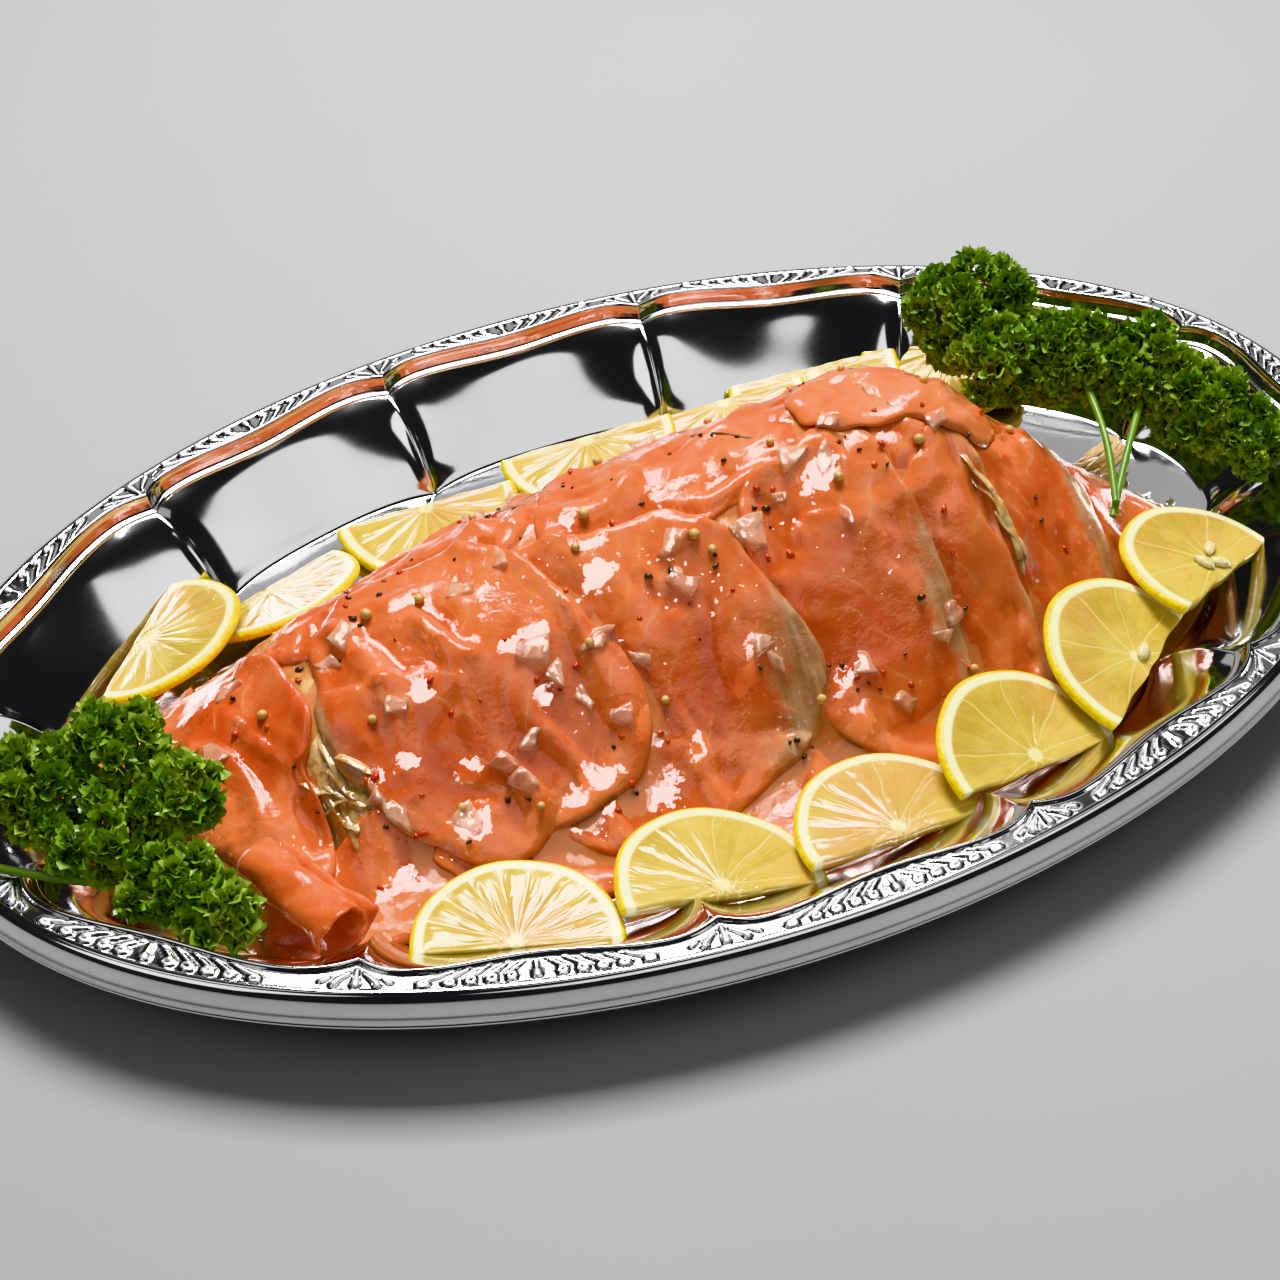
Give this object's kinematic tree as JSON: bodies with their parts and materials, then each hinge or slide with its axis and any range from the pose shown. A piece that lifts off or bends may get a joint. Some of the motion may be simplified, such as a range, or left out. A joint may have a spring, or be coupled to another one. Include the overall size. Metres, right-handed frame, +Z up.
{
  "type": "smoked salmon",
  "caption": "Dressed smoked salmon slices draped over a shredded onion bed on an oval steel tray, with lemon slices and curly parsley.",
  "frame": {"origin": "centre of the tray's base, on the table", "axes": "+X along the tray's length towards the taller bunch of parsley, -Y towards the side with the row of overlapping lemon slices, +Z up"},
  "size_m": [0.5, 0.3206, 0.0843],
  "materials": {
    "steel": "mirror-polished stainless steel, embossed band",
    "onion": "moist shredded onion",
    "salmon": "wet, oily and slightly see-through flesh with pale fat lines",
    "lemon": "dimpled rind, white pith and wet see-through pulp",
    "parsley": "fresh leaf, slightly waxy"
  },
  "bodies": {
    "root": {"tray": "steel", "onion_bed": "onion", "salmon_back_left": "salmon", "salmon_back_right": "salmon", "salmon_back_mid": "salmon", "salmon_foot_right": "salmon", "salmon_foot_front_right": "salmon", "salmon_foot_front_left": "salmon", "salmon_foot_front_mid": "salmon", "salmon_tip_left": "salmon", "salmon_ridge_left": "salmon", "salmon_end_right": "salmon", "salmon_ridge_right": "salmon", "salmon_ridge_mid": "salmon", "salmon_drape_far_right": "salmon", "salmon_drape_right": "salmon", "salmon_drape_flap": "salmon", "salmon_drape_big": "salmon", "salmon_shoulder_left": "salmon", "salmon_end_left": "salmon", "salmon_peak": "salmon", "salmon_roll": "salmon", "lemon_slice_01": "lemon", "lemon_slice_02": "lemon", "lemon_slice_03": "lemon", "lemon_slice_04": "lemon", "lemon_slice_05": "lemon", "lemon_slice_06": "lemon", "lemon_slice_07": "lemon", "lemon_slice_08": "lemon", "lemon_slice_09": "lemon", "lemon_slice_10": "lemon", "lemon_slice_11": "lemon", "lemon_slice_12": "lemon", "lemon_slice_13": "lemon", "parsley_right": "parsley", "parsley_left": "parsley"}
  },
  "joints": []
}
